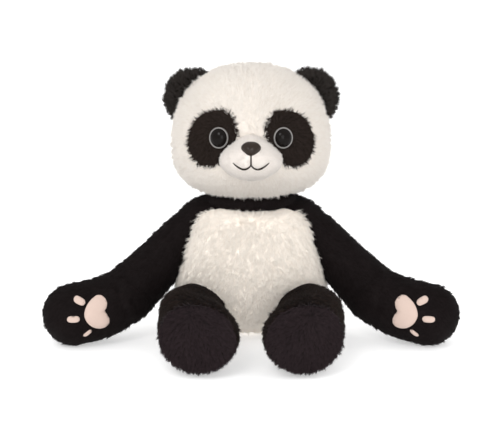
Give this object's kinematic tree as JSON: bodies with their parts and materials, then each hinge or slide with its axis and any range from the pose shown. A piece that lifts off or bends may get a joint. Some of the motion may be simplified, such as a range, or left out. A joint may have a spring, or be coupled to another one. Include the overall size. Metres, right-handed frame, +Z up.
{
  "type": "plush panda",
  "caption": "Seated plush panda with long outstretched arms, fluffy belly, glossy eyes and paw pads; head, ears, arms and legs turn.",
  "frame": {"origin": "on the floor, under the middle of the toy's outer box", "axes": "+X to the toy's own left, -Y the way it looks, +Z up"},
  "size_m": [0.409, 0.2332, 0.274],
  "materials": {
    "cream_plush": "cut pile plush",
    "muzzle_plush": "short velvet pile",
    "black_plush": "short cut pile",
    "sole_plush": "long shaggy pile",
    "patch_plush": "long pile",
    "stuffing": "polyester fibre",
    "bag_cloth": "plain weave",
    "pad_cloth": "short velour",
    "eye_plastic": "polished",
    "ring_plastic": "satin",
    "nose_plastic": "satin",
    "washer_plastic": "moulded",
    "sewing_thread": "twisted thread",
    "label_tape": "plain satin tape"
  },
  "bodies": {
    "torso": {"belly_panel": "cream_plush", "back_panel": "cream_plush", "collar_yoke": "black_plush", "seat_panel": "cream_plush", "torso_filling": "stuffing", "seat_pellet_bag": "bag_cloth", "tail": "black_plush", "care_label": "label_tape"},
    "neck": {"neck_filling": "stuffing"},
    "head": {"head_front_cover": "cream_plush", "head_back_cover": "cream_plush", "head_filling": "stuffing", "muzzle_cover": "muzzle_plush", "muzzle_filling": "stuffing", "nose": "nose_plastic", "nose_washer": "washer_plastic", "mouth_stitching": "sewing_thread", "left_eye_patch": "patch_plush", "left_eye": "eye_plastic", "left_eye_ring": "ring_plastic", "left_eye_washer": "washer_plastic", "left_ear_thread": "sewing_thread", "right_eye_patch": "patch_plush", "right_eye": "eye_plastic", "right_eye_ring": "ring_plastic", "right_eye_washer": "washer_plastic", "right_ear_thread": "sewing_thread"},
    "left_ear": {"left_ear_cover": "black_plush", "left_ear_pad": "stuffing"},
    "left_shoulder": {"left_shoulder_filling": "stuffing"},
    "left_upper_arm": {"left_sleeve": "black_plush", "left_sleeve_filling": "stuffing"},
    "left_paw": {"left_paw_cover": "black_plush", "left_paw_filling": "stuffing", "left_palm_pad": "pad_cloth", "left_toe_pads": "pad_cloth"},
    "left_leg": {"left_leg_cover": "black_plush", "left_leg_filling": "stuffing", "left_sole": "sole_plush"},
    "right_ear": {"right_ear_cover": "black_plush", "right_ear_pad": "stuffing"},
    "right_shoulder": {"right_shoulder_filling": "stuffing"},
    "right_upper_arm": {"right_sleeve": "black_plush", "right_sleeve_filling": "stuffing"},
    "right_paw": {"right_paw_cover": "black_plush", "right_paw_filling": "stuffing", "right_palm_pad": "pad_cloth", "right_toe_pads": "pad_cloth"},
    "right_leg": {"right_leg_cover": "black_plush", "right_leg_filling": "stuffing", "right_sole": "sole_plush"}
  },
  "joints": [
    {"name": "neck_turn", "type": "hinge", "parent": "torso", "child": "neck", "pos_m": [0, 0.03765, 0.145], "axis": [0, 0, 1], "range_deg": [-30, 30], "stiffness_Nm_per_rad": 0.15},
    {"name": "neck_nod", "type": "hinge", "parent": "neck", "child": "head", "pos_m": [0, 0.03765, 0.145], "axis": [1, 0, 0], "range_deg": [-8, 12], "stiffness_Nm_per_rad": 0.5},
    {"name": "left_shoulder_raise", "type": "hinge", "parent": "torso", "child": "left_shoulder", "pos_m": [0.069, 0.02965, 0.101], "axis": [0, -1, 0], "range_deg": [0, 85], "stiffness_Nm_per_rad": 0.05},
    {"name": "left_shoulder_hug", "type": "hinge", "parent": "left_shoulder", "child": "left_upper_arm", "pos_m": [0.069, 0.02965, 0.101], "axis": [-0.6178, 0, -0.7863], "range_deg": [0, 50], "stiffness_Nm_per_rad": 0.05},
    {"name": "left_elbow_bend", "type": "hinge", "parent": "left_upper_arm", "child": "left_paw", "pos_m": [0.125, 0.00865, 0.057], "axis": [0, -1, 0], "range_deg": [-20, 25], "stiffness_Nm_per_rad": 0.15},
    {"name": "left_hip_lift", "type": "hinge", "parent": "torso", "child": "left_leg", "pos_m": [0.04, -0.01035, 0.038], "axis": [-1, 0, 0], "range_deg": [-50, 20], "stiffness_Nm_per_rad": 0.3},
    {"name": "left_ear_flop", "type": "hinge", "parent": "head", "child": "left_ear", "pos_m": [0.06666, 0.04565, 0.24585], "axis": [0.5989, 0, -0.8008], "range_deg": [-15, 15], "stiffness_Nm_per_rad": 0.02},
    {"name": "right_shoulder_raise", "type": "hinge", "parent": "torso", "child": "right_shoulder", "pos_m": [-0.069, 0.02965, 0.101], "axis": [0, 1, 0], "range_deg": [0, 85], "stiffness_Nm_per_rad": 0.05},
    {"name": "right_shoulder_hug", "type": "hinge", "parent": "right_shoulder", "child": "right_upper_arm", "pos_m": [-0.069, 0.02965, 0.101], "axis": [-0.6178, 0, 0.7863], "range_deg": [0, 50], "stiffness_Nm_per_rad": 0.05},
    {"name": "right_elbow_bend", "type": "hinge", "parent": "right_upper_arm", "child": "right_paw", "pos_m": [-0.125, 0.00865, 0.057], "axis": [0, 1, 0], "range_deg": [-20, 25], "stiffness_Nm_per_rad": 0.15},
    {"name": "right_hip_lift", "type": "hinge", "parent": "torso", "child": "right_leg", "pos_m": [-0.04, -0.01035, 0.038], "axis": [-1, 0, 0], "range_deg": [-50, 20], "stiffness_Nm_per_rad": 0.3},
    {"name": "right_ear_flop", "type": "hinge", "parent": "head", "child": "right_ear", "pos_m": [-0.06666, 0.04565, 0.24585], "axis": [0.5989, 0, 0.8008], "range_deg": [-15, 15], "stiffness_Nm_per_rad": 0.02}
  ]
}
